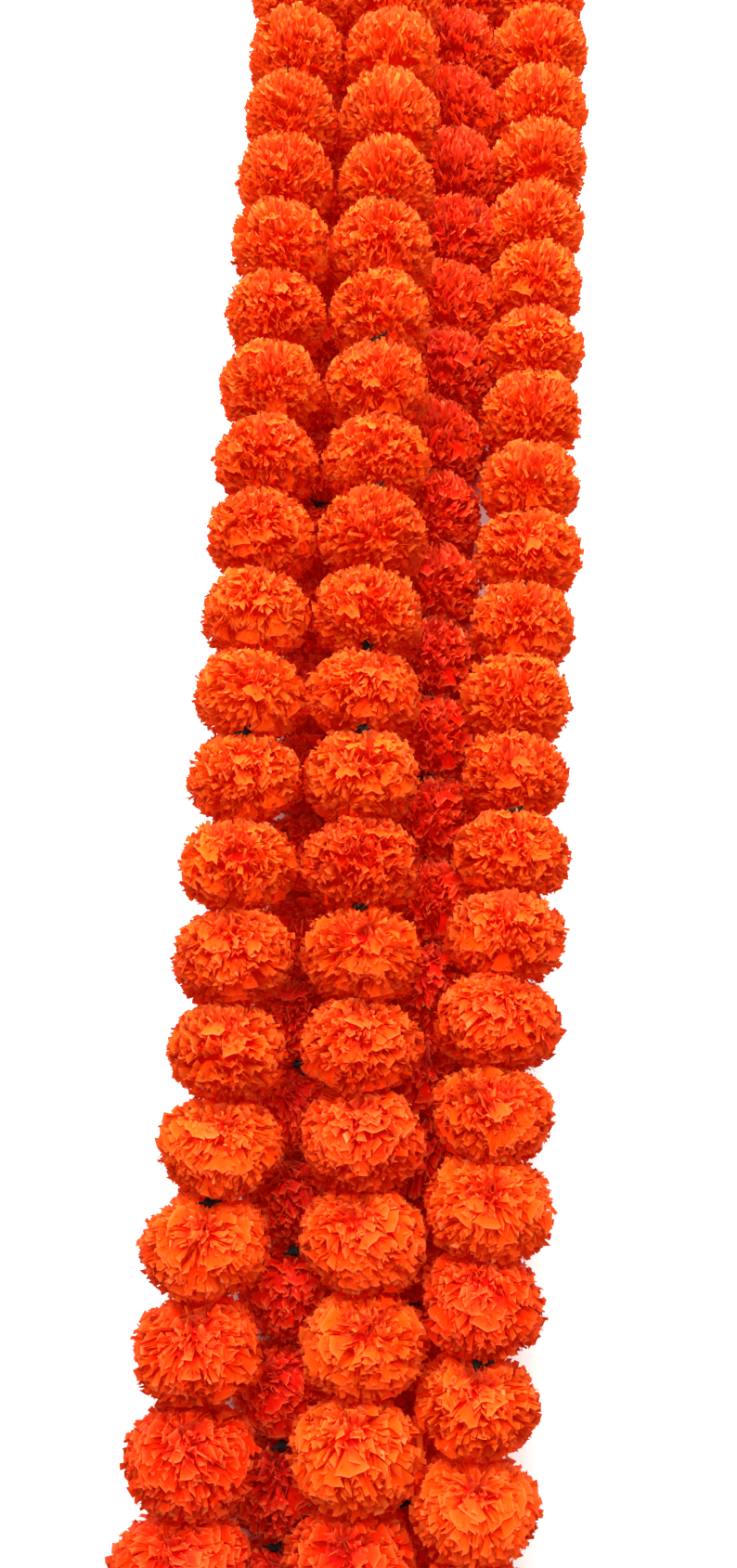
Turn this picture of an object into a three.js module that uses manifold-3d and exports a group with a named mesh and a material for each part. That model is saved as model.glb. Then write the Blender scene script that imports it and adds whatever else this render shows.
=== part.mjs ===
// A marigold garland: pompom blooms of thin pleated film, threaded on one black string with a
// knot below each bloom. The garland is folded at four turns into five runs and laid down, three
// runs on top and two below. Millimetres. +Z is up and the garland lies on z = 0. +Y runs along
// the bundle, towards the string's first end.

import * as THREE from "three";
import { mergeVertices } from "three/addons/utils/BufferGeometryUtils.js";
import Module from "manifold-3d";

const wasm = await Module();
wasm.setup();

// ---- Driving dimensions ----

const BLOOM_RADIUS = 37.5; // from the string to the longest petal tips
const SIZE_SPREAD = 0.025; // the most a bloom's size strays from its run's, either way
const PETALS = 10; // petals round each tier, long and short in turn
const PETAL_WAVE = 2.4; // how far a tier's edge waves along the string, either way
const PETAL_SPREAD = 0.04; // the most a petal is cut short
const BORE_RADIUS = 2.3; // the way through a bloom for the string
const BORE_END = 19; // from a bloom's middle to the mouths of its bore
const STRAIGHT_END = 22; // from a bloom's middle to where the string may start to bend
const NECK_RADIUS = 8; // where two blooms of one node join round the string

const STRING_RADIUS = 1.5;
const STRING_SIDES = 5;
const KNOT_RADIUS = 2.8;
const KNOT_LENGTH = 6;
const STATION_STEP = 14; // between the string's sections where it bends round a turn
const TURN_PULL = 1.4; // how far the string runs straight on before it bends

const BED = 32.5; // how high the string is in a run that lies on the surface
const UPPER = 97; // and in one that lies on two others
const CLEARANCE = 0.3; // between blooms that press on each other
const CENTRE = new THREE.Vector2(14.45, 225.97); // the middle of the garland, seen from above

const FILM_ORANGE = 0xf4511c;
const STRING_BLACK = 0x0c100e;

// A bloom's outline, from end to end: three tiers of petals with a crease between each two.
// along is a place on the string from the bloom's middle, and long and short are shares of the
// bloom's radius, which swap places in a crease.
const OUTLINE = [
  { along: -21, long: 0.74, short: 0.6 },
  { along: -11.5, long: 0.68, short: 0.82 },
  { along: 0, long: 1, short: 0.86 },
  { along: 11.5, long: 0.68, short: 0.82 },
  { along: 21, long: 0.74, short: 0.6 },
];

// The five runs, in their order along the string. Each has the y of the bloom nearest +Y, the
// spacing there, what each next spacing gains, the size of its blooms at the two ends, and the
// string's way as y, x, z from the +Y end down. A run is followed down (-1) or up (+1).
const RUNS = [
  {
    name: "run_1",
    heading: -1,
    blooms: 21,
    first: 771.5,
    spacing: 53.7,
    gain: 0.38,
    size: [0.95, 1.09],
    way: [
      [771, -52, 98],
      [609, -61, 98],
      [500, -66.5, 98],
      [387, -72, 97.5],
      [273, -77.5, UPPER],
      [163, -83, UPPER],
      [47, -86, UPPER],
      [-75, -93, 94],
      [-131, -100, 91],
      [-200, -104, 88],
      [-318, -110.5, 88],
      [-375, -112, 88],
    ],
  },
  {
    name: "run_2",
    heading: 1,
    blooms: 21,
    first: 811,
    spacing: 58,
    gain: 0,
    size: [1, 1],
    way: [
      [811, -17, BED],
      [737, -20.5, BED],
      [580, -29, BED],
      [417, -36, BED],
      [265, -40, BED],
      [26, -43.5, BED],
      [-145, -49.5, BED],
      [-205, -51.5, BED],
      [-260, -56, BED],
      [-349, -58, BED],
    ],
  },
  {
    name: "run_3",
    heading: -1,
    blooms: 22,
    first: 824.5,
    spacing: 53.7,
    gain: 0.3,
    size: [0.98, 1.07],
    way: [
      [825, 22, UPPER],
      [720, 18, UPPER],
      [600, 12, UPPER],
      [500, 7.5, UPPER],
      [385, 5, UPPER],
      [270, 0, UPPER],
      [157, -4, UPPER],
      [0, -5, UPPER],
      [-190, -3, UPPER],
      [-250, -9, UPPER],
      [-367, -14, UPPER],
    ],
  },
  {
    name: "run_4",
    heading: 1,
    blooms: 22,
    first: 834,
    spacing: 57.8,
    gain: 0,
    size: [1, 1],
    way: [
      [834, 67, BED],
      [660, 66, BED],
      [568, 64.5, BED],
      [510, 58, BED],
      [440, 49, BED],
      [350, 44.5, BED],
      [200, 39.5, BED],
      [50, 35, BED],
      [-150, 30, BED],
      [-322, 25, BED],
      [-380, 22, BED],
    ],
  },
  {
    name: "run_5",
    heading: -1,
    blooms: 22,
    first: 836,
    spacing: 55.8,
    gain: 0,
    size: [1.01, 1],
    way: [
      [836, 140, BED],
      [730, 140, 35],
      [614, 131.5, 41],
      [505, 126, 47],
      [335, 116, 52],
      [224, 105, 58],
      [107, 96.5, 76],
      [0, 83, 91],
      [-112, 74, 96],
      [-230, 64, UPPER],
      [-341, 58, UPPER],
    ],
  },
];

// The middles of the blooms at the four turns, and the string's two loose ends beyond its
// first and last blooms.
const TURNS = [
  new THREE.Vector3(-88, -434, BED),
  new THREE.Vector3(-2, 890, BED),
  new THREE.Vector3(-4, -446, 40),
  new THREE.Vector3(104, 893, BED),
];
const TURN_LEAN = new THREE.Vector3(1, 1, 0.85); // a turn's bloom leans less than its string climbs
const START_TAIL = [
  new THREE.Vector3(-77, 856, 4),
  new THREE.Vector3(-74, 842, 30),
  new THREE.Vector3(-66, 828, 62),
  new THREE.Vector3(-56, 812, 92),
];
const END_TAIL = [
  new THREE.Vector3(59, -378, 92),
  new THREE.Vector3(66, -396, 62),
  new THREE.Vector3(72, -410, 30),
  new THREE.Vector3(77, -424, 4),
];

// ---- Chance ----

// A number from 0 to 1 that depends only on its seeds.
function chance(a, b = 0, c = 0) {
  const wave = Math.sin(a * 12.9898 + b * 78.233 + c * 37.719) * 43758.5453;
  return wave - Math.floor(wave);
}

// ---- Where the blooms are ----

// The point of a run at height y, on a smooth line through the points of its way.
function pointOfWay(way, y) {
  let i = 0;
  while (i < way.length - 2 && y < way[i + 1][0]) i += 1;
  const before = way[Math.max(i - 1, 0)];
  const [a, b] = [way[i], way[i + 1]];
  const after = way[Math.min(i + 2, way.length - 1)];
  const step = b[0] - a[0];
  const t = THREE.MathUtils.clamp((y - a[0]) / step, 0, 1);
  const value = (k) => {
    const slopeA = ((b[k] - before[k]) / (b[0] - before[0])) * step;
    const slopeB = ((after[k] - a[k]) / (after[0] - a[0])) * step;
    const bend = a[k] * (2 * t ** 3 - 3 * t ** 2 + 1) + b[k] * (3 * t ** 2 - 2 * t ** 3);
    return bend + slopeA * (t ** 3 - 2 * t ** 2 + t) + slopeB * (t ** 3 - t ** 2);
  };
  return new THREE.Vector3(value(1), y, value(2));
}

// The blooms of a run in the order of the string, each with its middle and its radius.
function bloomsOfRun(run, seed) {
  const blooms = [];
  for (let i = 0; i < run.blooms; i += 1) {
    const y = run.first - run.spacing * i - (run.gain * i * i) / 2;
    const size = THREE.MathUtils.lerp(run.size[0], run.size[1], i / (run.blooms - 1));
    const stray = SIZE_SPREAD * (2 * chance(seed, i) - 1);
    blooms.push({ middle: pointOfWay(run.way, y), radius: BLOOM_RADIUS * (size + stray) });
  }
  return run.heading < 0 ? blooms : blooms.reverse();
}

// Splits a run's blooms into pairs, with three in the last one where the count is odd. The
// blooms of a pair are on one straight line, which is the string's there.
function pairsOfRun(run, seed) {
  const blooms = bloomsOfRun(run, seed);
  const pairs = [];
  const count = Math.floor(blooms.length / 2);
  for (let i = 0; i < count; i += 1) {
    const end = i === count - 1 ? blooms.length : 2 * i + 2;
    const inPair = blooms.slice(2 * i, end);
    const from = inPair[0].middle;
    const axis = inPair[inPair.length - 1].middle.clone().sub(from).normalize();
    for (const b of inPair) {
      const reach = b.middle.clone().sub(from).dot(axis);
      b.middle = from.clone().addScaledVector(axis, reach);
    }
    const number = String(i + 1).padStart(2, "0");
    pairs.push({ name: `${run.name}_blooms_${number}`, blooms: inPair, axis });
  }
  return pairs;
}

// The knots of blooms that each make one node, in the order of the string.
function allNodes() {
  const nodes = [];
  RUNS.forEach((run, r) => {
    nodes.push(...pairsOfRun(run, r + 1));
    if (r < TURNS.length) {
      const bloom = { middle: TURNS[r], radius: BLOOM_RADIUS };
      nodes.push({ name: `turn_${r + 1}_bloom`, blooms: [bloom], axis: null });
    }
  });
  nodes.forEach((node, i) => {
    if (node.axis) return;
    const before = nodes[i - 1].blooms.at(-1).middle;
    const after = nodes[i + 1].blooms[0].middle;
    node.axis = after.clone().sub(before).multiply(TURN_LEAN).normalize();
  });
  return nodes;
}

// ---- Blooms ----

// Two directions square to an axis and to each other, turning to the right round it.
function acrossOf(axis) {
  const side = Math.abs(axis.z) < 0.8 ? new THREE.Vector3(0, 0, 1) : new THREE.Vector3(1, 0, 0);
  const u = side.cross(axis).normalize();
  return [u, axis.clone().cross(u)];
}

// The planes that part a bloom from the blooms it presses on: a direction from its middle and
// how far the bloom may reach that way.
function partingPlanes(bloom, others) {
  const planes = [];
  for (const other of others) {
    const gap = other.middle.clone().sub(bloom.middle);
    const distance = gap.length();
    const both = bloom.radius + other.radius;
    if (distance > both + CLEARANCE) continue;
    const reach = (distance * bloom.radius) / both - CLEARANCE / 2;
    planes.push({ normal: gap.divideScalar(distance), reach });
  }
  return planes;
}

// Draws a point towards the bloom's middle until it is behind every parting plane.
function pressedIn(point, bloom, planes) {
  const arm = point.clone().sub(bloom.middle);
  let share = 1;
  for (const { normal, reach } of planes) {
    const height = arm.dot(normal);
    if (height > reach) share = Math.min(share, reach / height);
  }
  return bloom.middle.clone().addScaledVector(arm, share);
}

// A ring of points round an axis. radiusOf and alongOf give each point's own place.
function ringOf(middle, axis, radiusOf, alongOf) {
  const [u, v] = acrossOf(axis);
  return Array.from({ length: PETALS }, (_, j) => {
    const angle = (2 * Math.PI * j) / PETALS;
    return middle
      .clone()
      .addScaledVector(axis, alongOf(j))
      .addScaledVector(u, radiusOf(j) * Math.cos(angle))
      .addScaledVector(v, radiusOf(j) * Math.sin(angle));
  });
}

// The rings of one bloom's tiers and creases, pressed in where it meets others.
function bloomRings(bloom, axis, others, seed) {
  const planes = partingPlanes(bloom, others);
  return OUTLINE.map((tier, k) => {
    const isLong = (j) => (j + seed) % 2 === 0;
    const radiusOf = (j) =>
      bloom.radius * (isLong(j) ? tier.long : tier.short) * (1 - PETAL_SPREAD * chance(seed, k, j));
    const alongOf = (j) => tier.along + (isLong(j) ? PETAL_WAVE : -PETAL_WAVE) * (k % 2 ? 0 : 1);
    const ring = ringOf(bloom.middle, axis, radiusOf, alongOf);
    return ring.map((point) => pressedIn(point, bloom, planes));
  });
}

// Joins each ring to the next, with the last joined to the first or both ends closed flat.
function skinOf(rings, isLoop) {
  const sides = rings[0].length;
  const positions = rings.flat().flatMap((p) => [p.x, p.y, p.z]);
  const faces = [];
  const bands = isLoop ? rings.length : rings.length - 1;
  for (let i = 0; i < bands; i += 1) {
    const [low, high] = [i * sides, ((i + 1) % rings.length) * sides];
    for (let j = 0; j < sides; j += 1) {
      const next = (j + 1) % sides;
      faces.push(low + j, low + next, high + j, low + next, high + next, high + j);
    }
  }
  if (!isLoop) {
    const top = (rings.length - 1) * sides;
    for (let j = 1; j < sides - 1; j += 1) faces.push(0, j + 1, j, top, top + j, top + j + 1);
  }
  const skin = new THREE.BufferGeometry();
  skin.setAttribute("position", new THREE.Float32BufferAttribute(positions, 3));
  skin.setIndex(faces);
  return skin;
}

// One node of blooms round their own bore.
function bloomGeometry(node, others, seed) {
  const [first, last] = [node.blooms[0], node.blooms.at(-1)];
  const bore = (middle, along) => ringOf(middle, node.axis, () => BORE_RADIUS, () => along);
  const rings = [bore(first.middle, -BORE_END)];
  node.blooms.forEach((bloom, i) => {
    if (i > 0) {
      const neck = bloom.middle.clone().add(node.blooms[i - 1].middle).divideScalar(2);
      rings.push(ringOf(neck, node.axis, () => NECK_RADIUS, () => 0));
    }
    rings.push(...bloomRings(bloom, node.axis, others, seed + i));
  });
  rings.push(bore(last.middle, BORE_END));
  return skinOf(rings, true);
}

// ---- The flat underside ----

// A three.js geometry as a manifold-3d solid.
function solidOf(geometry) {
  const bare = new THREE.BufferGeometry();
  bare.setAttribute("position", geometry.getAttribute("position"));
  bare.setIndex(geometry.getIndex());
  const merged = mergeVertices(bare, 1e-4);
  const mesh = new wasm.Mesh({
    numProp: 3,
    vertProperties: merged.getAttribute("position").array,
    triVerts: new Uint32Array(merged.getIndex().array),
  });
  return new wasm.Manifold(mesh);
}

// A manifold-3d solid as a three.js geometry.
function geometryOf(solid) {
  const mesh = solid.getMesh();
  const geometry = new THREE.BufferGeometry();
  geometry.setAttribute("position", new THREE.Float32BufferAttribute(mesh.vertProperties, 3));
  geometry.setIndex(Array.from(mesh.triVerts));
  return geometry;
}

// Flattens the petals that would reach below the surface the garland lies on.
function laidFlat(geometry) {
  geometry.computeBoundingBox();
  const box = geometry.boundingBox;
  if (box.min.z >= 0) return geometry;
  const size = box.getSize(new THREE.Vector3()).multiplyScalar(2);
  const ground = new THREE.BoxGeometry(size.x, size.y, size.z);
  const middle = box.getCenter(new THREE.Vector3());
  ground.translate(middle.x, middle.y, -size.z / 2);
  return geometryOf(solidOf(geometry).subtract(solidOf(ground)));
}

// ---- String ----

// A place on the string: a point and the radius there.
const station = (point, radius) => ({ point, radius });

// The string from one bloom's bore to the next one's, with the knot between them.
function stationsBetween(from, fromAxis, to, toAxis) {
  const span = to.clone().sub(from).length();
  const pull = (span * TURN_PULL) / 3;
  const bend = new THREE.CubicBezierCurve3(
    from,
    from.clone().addScaledVector(fromAxis, pull),
    to.clone().addScaledVector(toAxis, -pull),
    to,
  );
  const length = bend.getLength();
  const knot = [(length - KNOT_LENGTH) / 2, (length + KNOT_LENGTH) / 2];
  const stations = [station(from, STRING_RADIUS)];
  const steps = Math.max(Math.floor(knot[0] / STATION_STEP), 0);
  for (let i = 1; i <= steps; i += 1)
    stations.push(station(bend.getPointAt(((i / (steps + 1)) * knot[0]) / length), STRING_RADIUS));
  for (const place of knot) stations.push(station(bend.getPointAt(place / length), KNOT_RADIUS));
  for (let i = 1; i <= steps; i += 1) {
    const place = knot[1] + (i / (steps + 1)) * (length - knot[1]);
    stations.push(station(bend.getPointAt(place / length), STRING_RADIUS));
  }
  stations.push(station(to, STRING_RADIUS));
  return stations;
}

// The whole string, from its first loose end through every bloom to its last.
function stringGeometry(nodes) {
  const inOf = ({ blooms, axis }) => blooms[0].middle.clone().addScaledVector(axis, -STRAIGHT_END);
  const outOf = ({ blooms, axis }) => blooms.at(-1).middle.clone().addScaledVector(axis, STRAIGHT_END);
  const stations = START_TAIL.map((point) => station(point, STRING_RADIUS));
  stations.push(station(inOf(nodes[0]), STRING_RADIUS));
  for (let i = 1; i < nodes.length; i += 1) {
    const [from, to] = [nodes[i - 1], nodes[i]];
    stations.push(...stationsBetween(outOf(from), from.axis, inOf(to), to.axis));
  }
  stations.push(station(outOf(nodes.at(-1)), STRING_RADIUS));
  stations.push(...END_TAIL.map((point) => station(point, STRING_RADIUS)));

  const knots = [START_TAIL.length - 1, stations.length - END_TAIL.length];
  for (const i of knots) stations[i].radius = KNOT_RADIUS;

  let u = null;
  const rings = stations.map(({ point, radius }, i) => {
    const ahead = stations[Math.min(i + 1, stations.length - 1)].point;
    const behind = stations[Math.max(i - 1, 0)].point;
    const along = ahead.clone().sub(behind).normalize();
    u = u ? u.addScaledVector(along, -u.dot(along)).normalize() : acrossOf(along)[0];
    const v = along.clone().cross(u);
    return Array.from({ length: STRING_SIDES }, (_, j) => {
      const angle = (2 * Math.PI * j) / STRING_SIDES;
      return point
        .clone()
        .addScaledVector(u, radius * Math.cos(angle))
        .addScaledVector(v, radius * Math.sin(angle));
    });
  });
  return skinOf(rings, false);
}

// ---- The garland ----

const garland = new THREE.Group();
garland.name = "marigold_garland";
garland.position.set(-CENTRE.x, -CENTRE.y, 0);

const film = new THREE.MeshStandardMaterial({
  color: FILM_ORANGE,
  roughness: 0.75,
  metalness: 0,
});
const cord = new THREE.MeshStandardMaterial({
  color: STRING_BLACK,
  roughness: 0.9,
  metalness: 0,
});

function addMesh(name, geometry, material) {
  const mesh = new THREE.Mesh(geometry, material);
  mesh.name = name;
  garland.add(mesh);
}

const nodes = allNodes();
const everyBloom = nodes.flatMap((node) => node.blooms);
nodes.forEach((node, i) => {
  const others = everyBloom.filter((bloom) => !node.blooms.includes(bloom));
  addMesh(node.name, laidFlat(bloomGeometry(node, others, i + 1)), film);
});
addMesh("string", stringGeometry(nodes), cord);

export default garland;
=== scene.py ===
"""A marigold garland: pompom blooms of dyed, crinkled film on one black knotted string, folded
into five runs and laid on a pale floor. Every bloom node of the frame is replaced by its layers
of film, and the string node by a twisted cord with a knot below each bloom.

Sizes are in millimetres, and turn into metres where a mesh is made."""

import math

import bpy
import numpy as np
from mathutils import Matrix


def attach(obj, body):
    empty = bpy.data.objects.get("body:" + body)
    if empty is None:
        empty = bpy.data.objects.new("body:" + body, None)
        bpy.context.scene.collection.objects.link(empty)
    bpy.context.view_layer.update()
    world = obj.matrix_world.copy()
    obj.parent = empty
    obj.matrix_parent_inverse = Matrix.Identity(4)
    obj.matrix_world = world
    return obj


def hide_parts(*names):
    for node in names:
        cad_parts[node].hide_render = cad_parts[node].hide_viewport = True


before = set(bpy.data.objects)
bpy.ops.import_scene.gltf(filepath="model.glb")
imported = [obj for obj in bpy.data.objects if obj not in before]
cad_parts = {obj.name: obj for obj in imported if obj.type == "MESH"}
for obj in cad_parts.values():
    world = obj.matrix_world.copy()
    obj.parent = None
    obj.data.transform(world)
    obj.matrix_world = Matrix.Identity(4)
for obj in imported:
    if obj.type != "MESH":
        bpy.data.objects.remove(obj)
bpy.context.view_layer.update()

MM = 0.001

# ---- The garland's route, as in the frame ----

BLOOM_RADIUS = 37.5
SIZE_SPREAD = 0.025  # the most a bloom's size strays from its run's, either way
STRAIGHT_END = 22.0  # from a bloom's middle to where the string may start to bend
TURN_PULL = 1.4  # how far the string runs straight on before it bends
BED = 32.5  # how high the string is in a run that lies on the floor
UPPER = 97.0  # and in one that lies on two others
CLEARANCE = 0.3  # between blooms that press on each other
CENTRE = np.array([14.45, 225.97, 0.0])  # the middle of the garland, seen from above
TURN_LEAN = np.array([1.0, 1.0, 0.85])  # a turn's bloom leans less than its string climbs

# Each run: the way it is followed, its count of blooms, the y of its first, the spacing, what
# the spacing gains, the size of its blooms at the two ends and the string's way as y, x, z.
RUNS = [
    dict(
        name="run_1",
        heading=-1,
        blooms=21,
        first=771.5,
        spacing=53.7,
        gain=0.38,
        size=(0.95, 1.09),
        way=[
            (771, -52, 98),
            (609, -61, 98),
            (500, -66.5, 98),
            (387, -72, 97.5),
            (273, -77.5, UPPER),
            (163, -83, UPPER),
            (47, -86, UPPER),
            (-75, -93, 94),
            (-131, -100, 91),
            (-200, -104, 88),
            (-318, -110.5, 88),
            (-375, -112, 88),
        ],
    ),
    dict(
        name="run_2",
        heading=1,
        blooms=21,
        first=811,
        spacing=58,
        gain=0,
        size=(1, 1),
        way=[
            (811, -17, BED),
            (737, -20.5, BED),
            (580, -29, BED),
            (417, -36, BED),
            (265, -40, BED),
            (26, -43.5, BED),
            (-145, -49.5, BED),
            (-205, -51.5, BED),
            (-260, -56, BED),
            (-349, -58, BED),
        ],
    ),
    dict(
        name="run_3",
        heading=-1,
        blooms=22,
        first=824.5,
        spacing=53.7,
        gain=0.3,
        size=(0.98, 1.07),
        way=[
            (825, 22, UPPER),
            (720, 18, UPPER),
            (600, 12, UPPER),
            (500, 7.5, UPPER),
            (385, 5, UPPER),
            (270, 0, UPPER),
            (157, -4, UPPER),
            (0, -5, UPPER),
            (-190, -3, UPPER),
            (-250, -9, UPPER),
            (-367, -14, UPPER),
        ],
    ),
    dict(
        name="run_4",
        heading=1,
        blooms=22,
        first=834,
        spacing=57.8,
        gain=0,
        size=(1, 1),
        way=[
            (834, 67, BED),
            (660, 66, BED),
            (568, 64.5, BED),
            (510, 58, BED),
            (440, 49, BED),
            (350, 44.5, BED),
            (200, 39.5, BED),
            (50, 35, BED),
            (-150, 30, BED),
            (-322, 25, BED),
            (-380, 22, BED),
        ],
    ),
    dict(
        name="run_5",
        heading=-1,
        blooms=22,
        first=836,
        spacing=55.8,
        gain=0,
        size=(1.01, 1),
        way=[
            (836, 140, BED),
            (730, 140, 35),
            (614, 131.5, 41),
            (505, 126, 47),
            (335, 116, 52),
            (224, 105, 58),
            (107, 96.5, 76),
            (0, 83, 91),
            (-112, 74, 96),
            (-230, 64, UPPER),
            (-341, 58, UPPER),
        ],
    ),
]
# The middles of the blooms at the four turns, and the string's two loose ends.
TURNS = [(-88, -434, BED), (-2, 890, BED), (-4, -446, 40), (104, 893, BED)]
START_TAIL = [(-77, 856, 4), (-74, 842, 30), (-66, 828, 62), (-56, 812, 92)]
END_TAIL = [(59, -378, 92), (66, -396, 62), (72, -410, 30), (77, -424, 4)]


def chance(a, b=0.0, c=0.0):
    """A number from 0 to 1 that depends only on its seeds, as the frame draws it."""
    wave = math.sin(a * 12.9898 + b * 78.233 + c * 37.719) * 43758.5453
    return wave - math.floor(wave)


def unit(v):
    return v / np.linalg.norm(v)


def point_of_way(way, y):
    """The point of a run at height y, on a smooth line through the points of its way."""
    i = 0
    while i < len(way) - 2 and y < way[i + 1][0]:
        i += 1
    a, b = way[i], way[i + 1]
    before, after = way[max(i - 1, 0)], way[min(i + 2, len(way) - 1)]
    step = b[0] - a[0]
    t = min(max((y - a[0]) / step, 0.0), 1.0)

    def value(k):
        slope_a = (b[k] - before[k]) / (b[0] - before[0]) * step
        slope_b = (after[k] - a[k]) / (after[0] - a[0]) * step
        bend = a[k] * (2 * t**3 - 3 * t**2 + 1) + b[k] * (3 * t**2 - 2 * t**3)
        return bend + slope_a * (t**3 - 2 * t**2 + t) + slope_b * (t**3 - t**2)

    return np.array([value(1), y, value(2)])


def nodes_of_run(run, seed):
    """A run's blooms in the order of the string, in pairs with three in an odd run's last."""
    blooms = []
    for i in range(run["blooms"]):
        y = run["first"] - run["spacing"] * i - run["gain"] * i * i / 2
        share = i / (run["blooms"] - 1)
        size = run["size"][0] + (run["size"][1] - run["size"][0]) * share
        stray = SIZE_SPREAD * (2 * chance(seed, i) - 1)
        blooms.append([point_of_way(run["way"], y), BLOOM_RADIUS * (size + stray)])
    if run["heading"] > 0:
        blooms.reverse()
    nodes = []
    count = len(blooms) // 2
    for i in range(count):
        group = blooms[2 * i : len(blooms) if i == count - 1 else 2 * i + 2]
        start = group[0][0]
        axis = unit(group[-1][0] - start)
        group = [(start + axis * np.dot(p - start, axis), r) for p, r in group]
        name = f"{run['name']}_blooms_{i + 1:02d}"
        nodes.append(dict(name=name, blooms=group, axis=axis))
    return nodes


def all_nodes():
    """Every bloom node in the order of the string, each with its blooms and its axis."""
    nodes = []
    for r, run in enumerate(RUNS):
        nodes += nodes_of_run(run, r + 1)
        if r < len(TURNS):
            bloom = (np.array(TURNS[r], float), BLOOM_RADIUS)
            nodes.append(dict(name=f"turn_{r + 1}_bloom", blooms=[bloom], axis=None))
    for i, node in enumerate(nodes):
        if node["axis"] is None:
            span = nodes[i + 1]["blooms"][0][0] - nodes[i - 1]["blooms"][-1][0]
            node["axis"] = unit(span * TURN_LEAN)
    return nodes


# ---- Meshes ----


def mesh_object(name, points, quads, layers=None):
    """A mesh object from points in millimetres and quads, with a number or a vector for each
    point in each of the named layers."""
    mesh = bpy.data.meshes.new(name)
    mesh.vertices.add(len(points))
    mesh.vertices.foreach_set("co", (np.asarray(points) * MM).astype(np.float32).ravel())
    mesh.loops.add(quads.size)
    mesh.loops.foreach_set("vertex_index", quads.astype(np.int32).ravel())
    mesh.polygons.add(len(quads))
    mesh.polygons.foreach_set("loop_start", np.arange(0, quads.size, 4, dtype=np.int32))
    for layer, values in (layers or {}).items():
        kind, field = ("FLOAT_VECTOR", "vector") if values.ndim > 1 else ("FLOAT", "value")
        attribute = mesh.attributes.new(layer, kind, "POINT")
        attribute.data.foreach_set(field, values.astype(np.float32).ravel())
    mesh.update(calc_edges=True)
    mesh.validate()
    piece = bpy.data.objects.new(name, mesh)
    bpy.context.scene.collection.objects.link(piece)
    return piece


def grid_quads(rows, columns):
    """The quads of a grid whose columns close on themselves."""
    row, column = np.meshgrid(np.arange(rows - 1), np.arange(columns), indexing="ij")
    a = row * columns + column
    b = row * columns + (column + 1) % columns
    return np.stack([a, b, b + columns, a + columns], -1).reshape(-1, 4)


# ---- Blooms ----

# Blooms near +Y are crisp, and their film gets broader and more worn towards -Y. Where a value
# is a pair, it is that of a crisp bloom and of a worn one.
CRISP_END, WORN_END = 700.0, -300.0  # the y of the two ends of that change
BLOOM_LENGTH = (0.93, 0.78)  # reach along the string as a share of radius
STRIPS = (126, 84)  # strips of film round a bloom's waist
FACE_TILT = (22.0, 50.0)  # degrees that a bloom's face turns up from the string
LAY = (-0.15, 0.45)  # how far the layers lie over the face
LUMPS = (0.014, 0.03)  # height of a bloom's lumps as a share of its radius
CRUMPLE = (0.5, 1.0)  # how crumpled the film is from strip to strip
PETALS = (0, 34)  # broad crumpled petals that lie over a bloom
DEEPEST, PALEST = (0.1, -0.46), (0.3, -0.06)  # between these lies a bloom's tone, which is random and lower in blooms towards -Y

FULLNESS = 2.15  # 2 for a plain ellipse, more for squarer shoulders
FACE_STRAY = 9.0  # degrees up or down
FACE_SWAY = 0.16  # and any way, as a share of its direction
LAY_STRAY = 0.15  # by how much the lay varies from bloom to bloom
MOST_LAY = 0.8  # and the most that it may be
LUMP_WAVES = 2.6  # how quickly the lumps follow each other round a bloom
LATITUDE_STRAY = 2.0  # degrees by which a layer's rim strays up or down
FULLER = {"run_2": 0.98, "run_4": 1.14, "run_5": 1.03}  # runs of thinner or thicker film
PRESS_SOFTNESS = 4.0  # over how many millimetres film gives way to what it presses on
PRESS_DEPTH = 4.0  # how far past the plane between two blooms their film may reach
PRESS_STRAY = 1.6  # and by how much that varies from point to point
TABS = 110  # loose corners of film that stand out of a bloom
PALE_GLINTS = 0.03  # how many of the strips have a pale end, a painted highlight
CORE = 0.7  # how much of a bloom its gathered inside fills
# Painted shade: a bloom that lies under others gets a lower tone, so it is redder and its glow
# weaker.
UNDER = 25.0  # a bloom this much higher than another can cover it
COVERING, CLEAR = 40.0, 80.0  # it does so fully at the first distance aside, not at the second
PAINTED_SHADE_UNDER_OTHERS = 0.75  # what a bloom with nothing over it gains in tone

# The rims of a bloom's layers of film, in degrees above its waist. Those towards the middle of
# its face may lean away from it and lie over the face.
RIMS = [84, 76, 68, 61, 54, 47, 40, 33, 26, 19, 12, 5, -2, -9, -16, -23, -31, -39, -48, -58, -70]
UPRIGHT, LEANING = -15.0, 55.0  # up to the first they stand straight, from the second they lean
GATHERED = 86.0  # where layers that lie over the face start
ROOT, TIP = 0.6, 0.97  # where a strip starts and ends, as shares of the way to the outline
ROWS = np.array([0, 0.62, 1.0])  # a strip's rows of points, as shares of its length
LOOSE = np.array([0, 0.3, 1.0])  # how freely each row strays
# A row's colour runs from painted shade at the strip's root, deep in the bloom, to light at its
# cut end.
ROW_PAINTED_LIGHT = np.array([0.2, 0.8, 1.0])  # how near each row is to the cut edge, for its colour
GLINT_RIM = 1.12  # and the same for a pale end, a painted highlight
FEWEST_STRIPS = 24  # strips in the smallest layers


def between(pair, share):
    """The value that far on the way from a pair's first to its second."""
    return pair[0] + (pair[1] - pair[0]) * share


def wear(middle):
    """How worn a bloom is by its place, from 0 near +Y to 1 near -Y."""
    return min(max((CRISP_END - middle[1]) / (CRISP_END - WORN_END), 0.0), 1.0)


def frame_round(axis):
    """Two directions square to an axis and to each other."""
    side = np.array([0.0, 0, 1]) if abs(axis[2]) < 0.8 else np.array([1.0, 0, 0])
    u = unit(np.cross(side, axis))
    return u, np.cross(axis, u)


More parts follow.
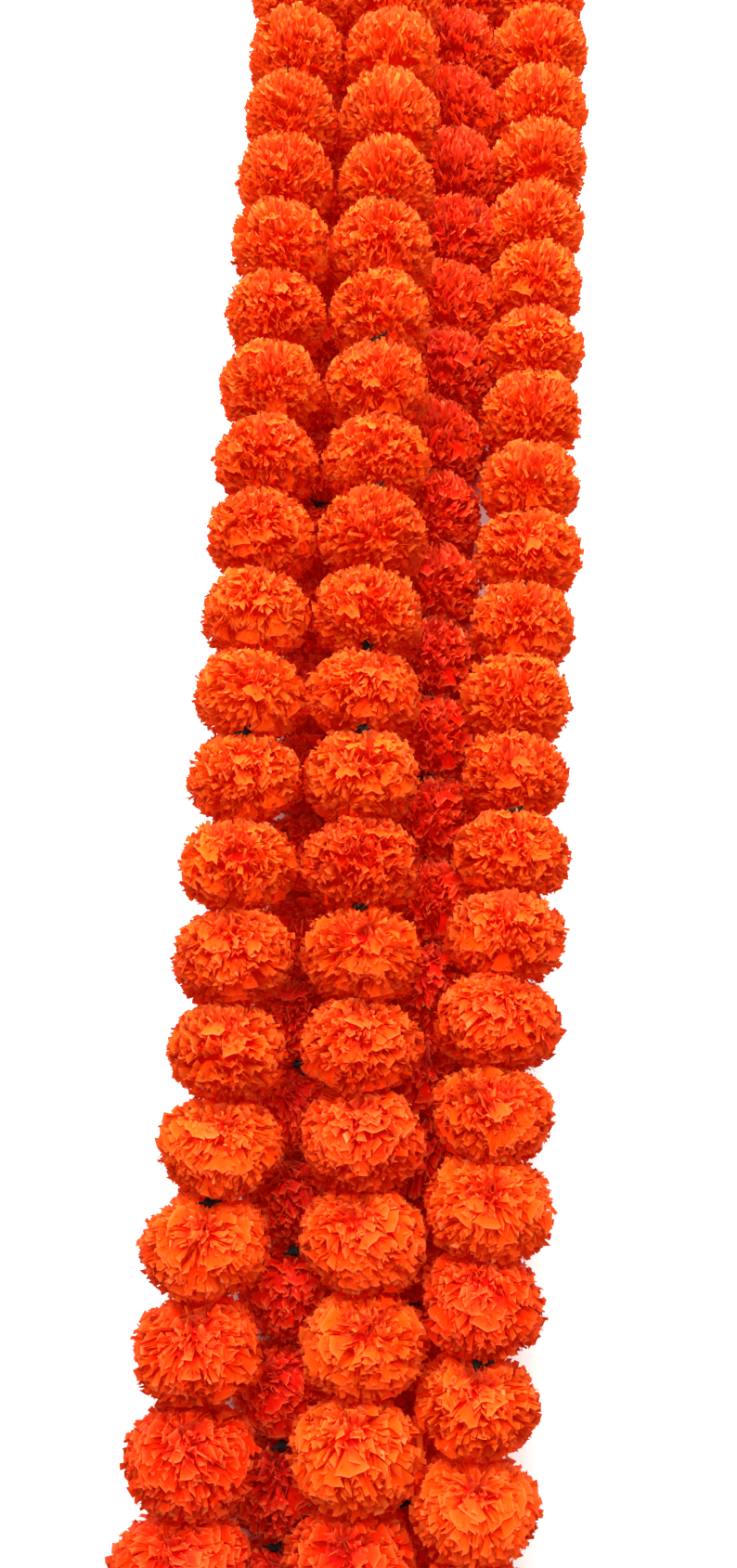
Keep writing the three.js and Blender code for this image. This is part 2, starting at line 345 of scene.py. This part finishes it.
def slow_wave(rng, azimuth, waves, spread):
    """A soft random wave round a layer, with that spread."""
    total = np.zeros(azimuth.shape)
    for turns in range(1, waves + 1):
        total += rng.normal(0, 1) * np.sin(turns * azimuth + rng.uniform(0, 2 * math.pi))
    return spread * total / math.sqrt(waves / 2)


def layer_of_film(rng, rim, lay, most, crumpled):
    """A layer of film, pleated and cut into strips, that stands straight out of the bloom where
    lay is 0 and lies over the face where lay is 1. Gives its points' latitudes, shares of the
    way to the outline and azimuths, as row, strip and side."""
    lean = min(max((rim - UPRIGHT) / (LEANING - UPRIGHT), 0.0), 1.0) * lay
    root = rim + (GATHERED - rim) * lean
    latitude = rim + (root - rim) * (1 - ROWS) ** 1.2
    arched = ROWS * (1 - lean) + np.sin(ROWS * math.pi / 2) ** 0.7 * lean
    share = between((ROOT, TIP), arched)
    strips = max(int(most * math.cos(math.radians(rim))), FEWEST_STRIPS)
    place = np.arange(strips)[:, None] + np.array([0, 1]) + rng.uniform(0, 1)
    azimuth = np.broadcast_to(place * 2 * math.pi / strips, (len(ROWS), strips, 2))
    fold = np.where(np.arange(strips) % 2 == 0, 1.0, -1.0) * rng.uniform(0.1, 1.0, strips)
    fold = np.stack([fold, np.roll(fold, -1)], 1)
    reach, loose, latitude, share = (
        row[:, None, None] for row in (ROWS, LOOSE, latitude, share)
    )

    def strayed(each, side):
        return rng.normal(0, each, (strips, 1)) + rng.normal(0, side, (strips, 2))

    # Up and down, in degrees: crumples that run on from strip to strip, then pleats.
    crumple = slow_wave(rng, azimuth, 6, 3.5) + slow_wave(rng, 3 * azimuth, 6, 3.0 * crumpled)
    latitude = latitude + crumple * reach + strayed(4.5, 1.3) * loose
    latitude = latitude + fold * (2 + 2 * reach) * (1 - 0.3 * lean)

    # Out and in, as shares of the way to the outline: ragged ends, crumples and pleats.
    ragged = rng.uniform(-0.09, 0.04, (strips, 1)) + rng.normal(0, 0.012, (strips, 2))
    crumple = slow_wave(rng, azimuth, 7, 0.02)
    crumple = crumple + slow_wave(rng, 3 * azimuth, 5, 0.014 * crumpled)
    share = share + crumple * reach + ragged * loose + fold * 0.02 * reach * (1 + lean)

    # Round the face, in radians: strips gathered together and strips astray.
    gather = slow_wave(rng, 3 * azimuth, 5, 0.03 * crumpled)
    azimuth = azimuth + gather * reach + strayed(0.045, 0.014) * loose * most / strips
    return np.radians(latitude), share, azimuth


def strip_quads(rows, strips):
    """The quads of a layer of strips."""
    row, strip = np.meshgrid(np.arange(rows - 1), np.arange(strips), indexing="ij")
    a = (row * strips + strip) * 2
    c = a + strips * 2
    return np.stack([a, a + 1, c + 1, c], -1).reshape(-1, 4)


def core_of_film(form):
    """The inside of a bloom, where the layers are too close to tell apart."""
    rows, columns = 8, 14
    latitude = np.radians(np.linspace(-85, 85, rows))[:, None]
    azimuth = np.linspace(0, 2 * math.pi, columns, endpoint=False)[None, :]
    latitude, azimuth = np.broadcast_arrays(latitude, azimuth)
    share = CORE * (1 + 0.06 * np.cos(azimuth * columns / 2) * np.cos(latitude))
    points = on_outline(latitude, share, azimuth, form)
    # The inside is painted in the deepest shade: its points are as far from a cut edge as can be.
    return points.reshape(-1, 3), grid_quads(rows, columns), np.zeros(rows * columns)


def on_outline(latitude, share, azimuth, form):
    """Points round a bloom's middle, from their place round its face's pole and their share of
    the way out to the bloom's outline, which is shorter along the string and has soft lumps."""
    face, axis, radius, length, lumps = form
    u, v = frame_round(face)
    flat = np.cos(latitude)[..., None]
    arm = flat * (np.cos(azimuth)[..., None] * u + np.sin(azimuth)[..., None] * v)
    arm = arm + np.sin(latitude)[..., None] * face
    along = np.abs(arm @ axis)
    across = np.sqrt(np.maximum(1 - along**2, 0))
    outline = ((along / length) ** FULLNESS + (across / radius) ** FULLNESS) ** (-1 / FULLNESS)
    for way, phase, height in lumps:
        outline = outline * (1 + height * np.sin(arm @ way + phase))
    return arm * (outline * share)[..., None]


def petals_of_film(rng, form, count):
    """Broad petals of film that lie over a bloom away from the middle of its face, crumpled
    across and lifted at the end."""
    rows, columns = 4, 6
    reach = np.linspace(0, 1, rows)[None, :, None]
    across = np.linspace(-1, 1, columns)[None, None, :]

    def each(least, most):
        return rng.uniform(least, most, (count, 1, 1))

    latitude = each(-35, 62)
    azimuth = each(0, 2 * math.pi)
    width = each(9, 15) / np.maximum(np.cos(np.radians(latitude)), 0.4)
    lift = each(0.0, 0.06)
    pleats = np.where(np.arange(columns) % 2 == 0, 1.0, -1.0)
    pleats = pleats * rng.uniform(0.2, 1.0, (count, 1, columns))
    wave = rng.normal(0, 1, (count, rows, columns))
    latitude = latitude + 20 * (1 - reach) + wave * 1.8 * reach + pleats * 1.5 * reach
    azimuth = azimuth + np.radians(width * across * (0.35 + 0.65 * reach) + wave[..., ::-1])
    share = 0.8 + 0.15 * np.sin(reach * math.pi / 2) + lift * reach**2
    share = share + pleats * 0.022 * (0.4 + 0.6 * reach) + wave * 0.008
    share = share + rng.uniform(-0.03, 0.01, (count, 1, columns)) * reach**3
    points = on_outline(np.radians(latitude), share, azimuth, form)
    quads = (np.arange(rows - 1)[:, None] * columns + np.arange(columns - 1)).reshape(-1)
    quads = np.stack([quads, quads + 1, quads + columns + 1, quads + columns], -1)
    quads = (quads[None] + rows * columns * np.arange(count)[:, None, None]).reshape(-1, 4)
    # Painted shade at a petal's root and light towards its end.
    rim = np.broadcast_to(0.45 + 0.55 * reach, share.shape)
    return points.reshape(-1, 3), quads, rim.ravel()


def tabs_of_film(rng, form):
    """Loose corners of film, each a small bent square that stands out of the bloom."""
    latitude = np.radians(rng.uniform(-60, 55, TABS))
    azimuth = rng.uniform(0, 2 * math.pi, TABS)
    root = on_outline(latitude, np.full(TABS, 0.85), azimuth, form)
    tip = on_outline(
        latitude + np.radians(rng.normal(0, 8, TABS)),
        rng.uniform(0.95, 1.05, TABS),
        azimuth + np.radians(rng.normal(0, 8, TABS)),
        form,
    )
    side = np.cross(tip - root, rng.normal(0, 1, (TABS, 3)))
    side *= (rng.uniform(1.0, 2.2, TABS) / np.linalg.norm(side, axis=1))[:, None]
    points = np.stack([root - side, root + side, tip + side * 0.9, tip - side * 0.7], 1)
    quads = np.arange(TABS * 4).reshape(-1, 4)
    # A tab is painted pale at its tip, a painted highlight.
    rim = np.tile([0.4, 0.4, 1.0, 1.0], TABS)
    return points.reshape(-1, 3), quads, rim


def parting_planes(middle, radius, others):
    """The planes that part a bloom from those it presses on, as directions and reaches."""
    normals, reaches = [], []
    for other, other_radius in others:
        gap = other - middle
        distance = np.linalg.norm(gap)
        both = radius + other_radius
        if 0 < distance <= both + PRESS_DEPTH:
            normals.append(gap / distance)
            reaches.append(distance * radius / both - CLEARANCE / 2 + PRESS_DEPTH)
    return np.array(normals), np.array(reaches)


def pressed(rng, points, normals, reaches):
    """Film that gives way softly and unevenly where it meets the film of another bloom."""
    uneven = rng.normal(0, PRESS_STRAY, len(points))
    for normal, reach in zip(normals, reaches):
        height = points @ normal
        reach = reach + uneven
        over = height > reach - PRESS_SOFTNESS
        height, reach = height[over], reach[over]
        give = 1 - np.exp(-(height - reach + PRESS_SOFTNESS) / PRESS_SOFTNESS)
        points[over] *= ((reach - PRESS_SOFTNESS * (1 - give)) / height)[:, None]
    return points


def laid(points):
    """Film that gives way softly where it meets the floor."""
    low = points[:, 2] < PRESS_SOFTNESS
    points[low, 2] = PRESS_SOFTNESS * np.exp(points[low, 2] / PRESS_SOFTNESS - 1)
    return points


def face_of(axis, worn, rng):
    """The way a bloom's face looks: along the string towards +Y, and up."""
    along = axis if axis[1] > 0 else -axis
    up = unit(np.array([0.0, 0, 1]) - along * along[2])
    tilt = math.radians(between(FACE_TILT, worn) + rng.normal(0, FACE_STRAY))
    face = math.cos(tilt) * along + math.sin(tilt) * up
    return unit(face + rng.normal(0, FACE_SWAY, 3))


def bloom_film(middle, radius, axis, others, rng):
    """All the film of one bloom: points, quads and how near each point is to a cut edge, which
    sets its painted shade and painted highlight.
    """
    worn = wear(middle)
    face = face_of(axis, worn, rng)
    lay = min(max(between(LAY, worn) + rng.normal(0, LAY_STRAY), 0.0), MOST_LAY)
    length = radius * between(BLOOM_LENGTH, worn)
    height = between(LUMPS, worn)
    lumps = [(rng.normal(0, LUMP_WAVES, 3), rng.uniform(0, 6), height) for _ in range(3)]
    form = face, axis, radius, length, lumps
    parts = [core_of_film(form), tabs_of_film(rng, form)]
    petals = round(between(PETALS, worn))
    if petals:
        parts.append(petals_of_film(rng, form, petals))
    most, crumpled = between(STRIPS, worn), between(CRUMPLE, worn)
    for rim in RIMS:
        rim += rng.uniform(-LATITUDE_STRAY, LATITUDE_STRAY)
        latitude, share, azimuth = layer_of_film(rng, rim, lay, most, crumpled)
        points = on_outline(latitude, share, azimuth, form)
        rows, strips = latitude.shape[:2]
        # Painted shade towards each strip's root and light towards its end, with a painted
        # highlight on a few pale ends.
        depth = ROW_PAINTED_LIGHT[:, None, None] * np.ones(latitude.shape)
        depth[-1, rng.uniform(0, 1, strips) < PALE_GLINTS] = GLINT_RIM
        parts.append((points.reshape(-1, 3), strip_quads(rows, strips), depth.ravel()))
    points, quads, rim_light_and_shade = joined(parts)
    points = pressed(rng, points, *parting_planes(middle, radius, others))
    return laid(points + middle), quads, rim_light_and_shade


def joined(parts):
    """Parts of points, quads and a number for each point, made into one."""
    starts = np.cumsum([0] + [len(points) for points, _, _ in parts])
    quads = [quads + start for (_, quads, _), start in zip(parts, starts)]
    points = np.concatenate([part[0] for part in parts])
    return points, np.concatenate(quads), np.concatenate([part[2] for part in parts])


def covered(middle, others):
    """How far a bloom lies under others, from 0 to 1."""
    total = 0.0
    for other, _ in others:
        aside = math.hypot(other[0] - middle[0], other[1] - middle[1])
        if other[2] - middle[2] > UNDER:
            total += min(max((CLEAR - aside) / (CLEAR - COVERING), 0.0), 1.0)
    return min(total, 1.0)


def film_piece(node, every_bloom, seed):
    """The film of a node's blooms, as one piece in the node's place. Each point has three things
    that the film's colour and shading depend on: how near a cut edge it is, which sets painted
    shade deep in the bloom and a painted highlight at the cut edge, the tone of its bloom, which
    is random and lowered as painted shade under other blooms, and its direction from the bloom's
    middle."""
    rng = np.random.default_rng(seed)
    parts, tones_and_shades, outwards = [], [], []
    for middle, radius in node["blooms"]:
        others = [b for b in every_bloom if b[0] is not middle]
        radius *= FULLER.get(node["name"][:5], 1.0)
        parts.append(bloom_film(middle, radius, node["axis"], others, rng))
        worn = wear(middle)
        tone_and_shade = rng.uniform(between(DEEPEST, worn), between(PALEST, worn))
        # Painted shade: the tone of a bloom under others is lowered.
        tone_and_shade += PAINTED_SHADE_UNDER_OTHERS * (1 - covered(middle, others))
        tones_and_shades.append(np.full(len(parts[-1][0]), tone_and_shade))
        arms = parts[-1][0] - middle
        outwards.append(arms / np.linalg.norm(arms, axis=1)[:, None])
    points, quads, rim_light_and_shade = joined(parts)
    layers = dict(rim=rim_light_and_shade, tone_and_shade=np.concatenate(tones_and_shades), outward=np.concatenate(outwards))
    return mesh_object(node["name"].replace("bloom", "film"), points - CENTRE, quads, layers)


# ---- String ----

CORD_RADIUS = 1.1
CORD_SIDES = 10
PLIES = 3
PLY_TURN = 7.0  # the length of one turn of the cord's plies
PLY_DEPTH = 0.13  # how far the plies stand out, as a share of the cord's radius
KNOT_RADIUS = 2.7
KNOT_LENGTH = 7.5
CORD_STEP = 1.6  # between the cord's rings of points where it shows
HIDDEN = 17.0  # nearer than this to the middle of a bloom, film hides the string
HIDDEN_STEPS = 6  # how many steps there are between rings in there
TIED_SHARE = 0.45  # how many knots at y = 0 have long ends of thread, and more do towards -Y
TIED_FALL = 3000.0  # the millimetres of y in which that share would fall by 1
THREAD_RADIUS = 0.95
THREAD_SIDES = 6
BEAD_RADIUS = 2.4  # what the second knot in a thread adds to its radius
BEAD_PLACE, BEAD_LENGTH = 0.62, 0.13  # where it is and how long, as shares of the thread
BEND_PLACE = 0.625  # where the thread bends aside, as a share of it
LOW = 0.2  # the string's underside lies no lower than this


def bezier(a, b, c, d, t):
    """Points at t from 0 to 1 on the curve from a to d that heads for b and comes from c."""
    t = t[:, None]
    return a * (1 - t) ** 3 + 3 * b * t * (1 - t) ** 2 + 3 * c * t * t * (1 - t) + d * t**3


def string_line(nodes):
    """The string's middle line as points, and the places of its knots."""
    ends = [
        (
            node["blooms"][0][0] - node["axis"] * STRAIGHT_END,
            node["blooms"][-1][0] + node["axis"] * STRAIGHT_END,
        )
        for node in nodes
    ]
    line = [np.array(START_TAIL, float), ends[0][0][None]]
    knots = [np.array(START_TAIL[-1], float)]
    for i, node in enumerate(nodes):
        middles = [b[0] for b in node["blooms"]]
        knots += [(a + b) / 2 for a, b in zip(middles, middles[1:])]
        line.append(ends[i][1][None])
        if i + 1 == len(nodes):
            break
        a, d = ends[i][1], ends[i + 1][0]
        pull = np.linalg.norm(d - a) * TURN_PULL / 3
        b, c = a + node["axis"] * pull, d - nodes[i + 1]["axis"] * pull
        line.append(bezier(a, b, c, d, np.linspace(0, 1, 9)[1:]))
        knots.append(bezier(a, b, c, d, np.array([0.5]))[0])
    line.append(np.array(END_TAIL, float))
    knots.append(np.array(END_TAIL[0], float))
    return np.concatenate(line), knots


def stepped(line, middles):
    """Points along a line, close together where it shows between the blooms and far apart
    inside them, and how far along the line each is."""
    lengths = np.concatenate([[0], np.cumsum(np.linalg.norm(np.diff(line, axis=0), axis=1))])
    places = np.arange(0, lengths[-1], CORD_STEP)
    points = np.stack([np.interp(places, lengths, line[:, k]) for k in range(3)], 1)
    gaps = np.linalg.norm(points[:, None] - middles[None], axis=2).min(axis=1)
    kept = (gaps > HIDDEN) | (np.arange(len(points)) % HIDDEN_STEPS == 0)
    return points[kept], places[kept]


def string_piece(nodes):
    """The twisted cord with its knots."""
    line, knots = string_line(nodes)
    middles = np.array([bloom[0] for node in nodes for bloom in node["blooms"]])
    points, places = stepped(line, middles)
    along = np.gradient(points, axis=0)
    along /= np.linalg.norm(along, axis=1)[:, None]
    radius = np.full(len(points), CORD_RADIUS)
    for k, knot in enumerate(knots):
        distance = np.linalg.norm(points - knot, axis=1)
        bump = np.clip(1 - (distance / (KNOT_LENGTH / 2)) ** 2, 0, 1) ** 0.5
        size = KNOT_RADIUS * (0.9 + 0.2 * chance(k, 7))
        radius = np.maximum(radius, size * bump)
    u = frame_round(along[0])[0]
    rings = []
    for i, direction in enumerate(along):
        u = unit(u - direction * np.dot(u, direction))
        v = np.cross(direction, u)
        angle = np.linspace(0, 2 * math.pi, CORD_SIDES, endpoint=False)
        ply = 1 + PLY_DEPTH * np.cos(PLIES * angle + 2 * math.pi * places[i] / PLY_TURN)
        ring = np.cos(angle)[:, None] * u + np.sin(angle)[:, None] * v
        rings.append(points[i] + ring * (radius[i] * ply)[:, None])
    skins = [(np.concatenate(rings), grid_quads(len(rings), CORD_SIDES), None)]
    for k, knot in enumerate(knots):
        if chance(k, 11) < TIED_SHARE - knot[1] / TIED_FALL:
            skins += tied_ends(knot, k)
    starts = np.cumsum([0] + [len(points) for points, _, _ in skins])
    quads = np.concatenate([quads + start for (_, quads, _), start in zip(skins, starts)])
    skin = np.concatenate([points for points, _, _ in skins]) - CENTRE
    skin[:, 2] = np.maximum(skin[:, 2], LOW)
    return mesh_object("knotted_string", skin, quads)


def tied_ends(knot, seed):
    """The two cut ends of a knot's thread, tied once more where they come out above it."""
    rng = np.random.default_rng(1000 + seed)
    skins = []
    height = rng.uniform(15, 21)
    for end in (-1, 1):
        tip = np.array([end * rng.uniform(3, 8), rng.uniform(-3, 3), height + rng.uniform(3, 7)])
        bend = np.array([rng.normal(0, 1.5), rng.normal(0, 1), height])
        t = np.linspace(0, 1, 12)[:, None]
        below = bend * np.minimum(t / BEND_PLACE, 1)
        above = (tip - bend) * np.maximum(t - BEND_PLACE, 0) / (1 - BEND_PLACE)
        line = knot + below + above
        bead = np.exp(-(((t[:, 0] - BEAD_PLACE) / BEAD_LENGTH) ** 2))
        radius = THREAD_RADIUS + BEAD_RADIUS * bead
        angle = np.linspace(0, 2 * math.pi, THREAD_SIDES, endpoint=False)
        ring = np.stack([np.cos(angle), np.sin(angle), 0.25 * np.cos(angle)], 1)
        rings = [point + ring * size for point, size in zip(line, radius)]
        skins.append((np.concatenate(rings), grid_quads(len(rings), THREAD_SIDES), None))
    return skins


# ---- Materials ----

MOTTLE = 8.0  # between the film's patches of deeper and paler dye
CREASE = 2.2  # between its creases
FIBRE = 0.8  # between the cord's tufts: single fibres are too fine to show, so it is drawn coarser


def linear(hex_colour):
    """An sRGB hex colour as linear red, green, blue and alpha."""
    parts = [int(hex_colour[i : i + 2], 16) / 255 for i in (1, 3, 5)]
    return [c / 12.92 if c <= 0.04045 else ((c + 0.055) / 1.055) ** 2.4 for c in parts] + [1]


def add_node(tree, kind, settings=None, links=None, stops=()):
    """Adds a node with its settings, links from other nodes' outputs to its inputs and, where it
    has them, colour stops, each a place and a colour."""
    node = tree.nodes.new(kind)
    for key, value in (settings or {}).items():
        if isinstance(key, str) and hasattr(node, key):
            setattr(node, key, value)
        else:
            node.inputs[key].default_value = value
    for key, source in (links or {}).items():
        tree.links.new(source, node.inputs[key])
    for i, (place, colour) in enumerate(stops):
        elements = node.color_ramp.elements
        element = elements[i] if i < len(elements) else elements.new(place)
        element.position = place
        element.color = linear(colour)
    return node


def empty_material(name):
    """A material with no nodes yet, and its tree."""
    material = bpy.data.materials.new(name)
    material.use_nodes = True
    material.node_tree.nodes.clear()
    return material, material.node_tree


def dyed_film():
    """Thin crinkled film, dyed orange and cut with pinking shears: matt, with light coming
    through it redder than it is lit, with painted shade deep in a bloom and with cut edges painted
    paler as a highlight."""
    material, tree = empty_material("dyed_film")
    place = add_node(tree, "ShaderNodeTexCoord").outputs["Object"]

    # The colour is redder deep in a bloom, which is painted shade, in blooms of a deeper tone,
    # which is random but lowered as painted shade under other blooms, and in patches of deeper
    # dye.
    mottle = add_node(
        tree,
        "ShaderNodeTexNoise",
        {"Scale": 1 / (MOTTLE * MM), "Detail": 4.0, "Roughness": 0.6},
        {"Vector": place},
    ).outputs["Fac"]
    rim = add_node(tree, "ShaderNodeAttribute", {"attribute_name": "rim"}).outputs["Fac"]
    tone_and_shade = add_node(tree, "ShaderNodeAttribute", {"attribute_name": "tone_and_shade"}).outputs["Fac"]
    patch = add_node(
        tree, "ShaderNodeMath", {"operation": "MULTIPLY_ADD", 1: 0.4, 2: -1.05}, {0: mottle}
    ).outputs[0]
    toned_and_shaded = add_node(tree, "ShaderNodeMath", {"operation": "ADD"}, {0: tone_and_shade, 1: patch}).outputs[0]
    depth = add_node(tree, "ShaderNodeMath", {"operation": "ADD"}, {0: rim, 1: toned_and_shaded}).outputs[0]
    dye_and_painted_shade = add_node(
        tree,
        "ShaderNodeValToRGB",
        links={"Fac": depth},
        stops=[(0.0, "#DA1200"), (0.3, "#F32F01"), (0.6, "#FF5005"), (1.0, "#FF7012")],
    ).outputs["Color"]

    # The cut edges are painted paler, a painted highlight.
    edge = add_node(tree, "ShaderNodeMath", {"operation": "POWER", 1: 24.0}, {0: rim}).outputs[0]
    painted_glint = add_node(
        tree, "ShaderNodeMath", {"operation": "MULTIPLY"}, {0: edge, 1: mottle}
    ).outputs[0]
    colour = add_node(
        tree,
        "ShaderNodeMix",
        {"data_type": "RGBA", 7: linear("#FF8E4C")},
        {0: painted_glint, 6: dye_and_painted_shade},
    ).outputs[2]

    # Fine creases. Light spreads from strip to strip, so the film is shaded mostly as the round
    # bloom would be, and only a little as the single strips.
    fine = add_node(
        tree, "ShaderNodeTexNoise", {"Scale": 1 / (CREASE * MM), "Detail": 2.0}, {"Vector": place}
    ).outputs["Fac"]
    bump = add_node(
        tree, "ShaderNodeBump", {"Strength": 0.6, "Distance": 0.6 * MM}, {"Height": fine}
    ).outputs["Normal"]
    outward = add_node(tree, "ShaderNodeAttribute", {"attribute_name": "outward"})
    leaning = add_node(
        tree,
        "ShaderNodeMix",
        {"data_type": "VECTOR", 0: 0.82},
        {4: bump, 5: outward.outputs["Vector"]},
    ).outputs[1]
    normal = add_node(
        tree, "ShaderNodeVectorMath", {"operation": "NORMALIZE"}, {0: leaning}
    ).outputs[0]

    # A faint red glow, which is painted light, stands in for light that has gone through many
    # layers. It follows the tone, so it is weaker under other blooms, a painted shade.
    painted_glow = add_node(
        tree, "ShaderNodeMath", {"operation": "MULTIPLY_ADD", 1: 0.16, 2: 0.12}, {0: tone_and_shade}
    ).outputs[0]
    skin = add_node(
        tree,
        "ShaderNodeBsdfPrincipled",
        {"Roughness": 0.55, "Specular IOR Level": 0.06, "Emission Color": linear("#FF0C00")},
        {"Base Color": colour, "Normal": normal, "Emission Strength": painted_glow},
    )
    through = add_node(
        tree, "ShaderNodeBsdfTranslucent", {"Color": linear("#FF3A02")}, {"Normal": bump}
    )
    both = add_node(
        tree, "ShaderNodeMixShader", {0: 0.36}, {1: skin.outputs[0], 2: through.outputs[0]}
    )
    add_node(tree, "ShaderNodeOutputMaterial", links={"Surface": both.outputs[0]})
    return material


def twisted_cord():
    """Black polyester cord, twisted from fine fibres, which make it matt and a little uneven."""
    material, tree = empty_material("twisted_cord")
    place = add_node(tree, "ShaderNodeTexCoord").outputs["Object"]
    fibre = add_node(
        tree, "ShaderNodeTexNoise", {"Scale": 1 / (FIBRE * MM), "Detail": 3.0}, {"Vector": place}
    ).outputs["Fac"]
    colour = add_node(
        tree,
        "ShaderNodeValToRGB",
        links={"Fac": fibre},
        stops=[(0.35, "#060807"), (0.7, "#1A1F1C")],
    ).outputs["Color"]
    bump = add_node(
        tree, "ShaderNodeBump", {"Strength": 0.7, "Distance": 0.2 * MM}, {"Height": fibre}
    ).outputs["Normal"]
    skin = add_node(
        tree,
        "ShaderNodeBsdfPrincipled",
        {"Roughness": 0.85, "Specular IOR Level": 0.25},
        {"Base Color": colour, "Normal": bump},
    )
    add_node(tree, "ShaderNodeOutputMaterial", links={"Surface": skin.outputs[0]})
    return material


def white_paper():
    """Matt white paper, with no sheen."""
    material, tree = empty_material("white_paper")
    skin = add_node(
        tree, "ShaderNodeBsdfPrincipled", {"Base Color": linear("#F7F6F4"), "Roughness": 0.9}
    )
    add_node(tree, "ShaderNodeOutputMaterial", links={"Surface": skin.outputs[0]})
    return material


# ---- Stage ----

FLOOR_HALF = 6.0  # metres from the floor's middle to its edges
CAMERA_HEIGHT = 755.87  # above the upper runs' string
CAMERA_TILT = math.radians(11.592)  # away from straight down, towards +Y
FOCAL_PIXELS = 1250.0  # the focal length, in pixels of the image
IMAGE_HEIGHT = 1689.0  # in pixels
SENSOR = 24.0


def set_stage():
    """The floor, the lights and the camera."""
    floor_mesh = bpy.data.meshes.new("floor")
    s = FLOOR_HALF
    floor_mesh.from_pydata([(-s, -s, 0), (s, -s, 0), (s, s, 0), (-s, s, 0)], [], [(0, 1, 2, 3)])
    floor_mesh.materials.append(white_paper())
    floor = bpy.data.objects.new("floor", floor_mesh)
    bpy.context.scene.collection.objects.link(floor)

    add_light("key", (-0.05, 1.35, 1.55), 2.0, 190, (1.0, 0.98, 0.95))
    add_light("front", (0.3, -1.0, 2.4), 2.0, 8, (1.0, 1.0, 1.0))

    world = bpy.data.worlds.new("soft_studio")
    world.use_nodes = True
    world.node_tree.nodes["Background"].inputs["Color"].default_value = (1, 1, 1, 1)
    world.node_tree.nodes["Background"].inputs["Strength"].default_value = 0.22
    bpy.context.scene.world = world

    lens = bpy.data.cameras.new("camera")
    lens.sensor_fit = "VERTICAL"
    lens.sensor_height = SENSOR
    lens.lens = FOCAL_PIXELS / IMAGE_HEIGHT * SENSOR
    lens.clip_start = 10 * MM
    camera = bpy.data.objects.new("camera", lens)
    camera.location = [c * MM for c in (-CENTRE[0], -CENTRE[1], UPPER + CAMERA_HEIGHT)]
    camera.rotation_euler = (CAMERA_TILT, 0, 0)
    bpy.context.scene.collection.objects.link(camera)
    bpy.context.scene.camera = camera
    bpy.context.scene.view_settings.view_transform = "Standard"


def add_light(name, place, size, power, colour):
    """A square softbox that looks at the middle of the garland, with its place and size in
    metres and its power in watts."""
    lamp = bpy.data.lights.new(name, "AREA")
    lamp.size = size
    lamp.energy = power
    lamp.color = colour
    light = bpy.data.objects.new(name, lamp)
    light.location = place
    aim = -np.array(place)
    light.rotation_euler = (
        math.atan2(math.hypot(aim[0], aim[1]), -aim[2]),
        0,
        math.atan2(-aim[0], aim[1]),
    )
    bpy.context.scene.collection.objects.link(light)


# ---- The garland ----

nodes = all_nodes()
every_bloom = [bloom for node in nodes for bloom in node["blooms"]]
film = dyed_film()
for number, node in enumerate(nodes):
    piece = film_piece(node, every_bloom, number + 1)
    piece.data.materials.append(film)
    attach(piece, "root")
    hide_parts(node["name"])

string = string_piece(nodes)
string.data.materials.append(twisted_cord())
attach(string, "root")
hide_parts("string")

set_stage()
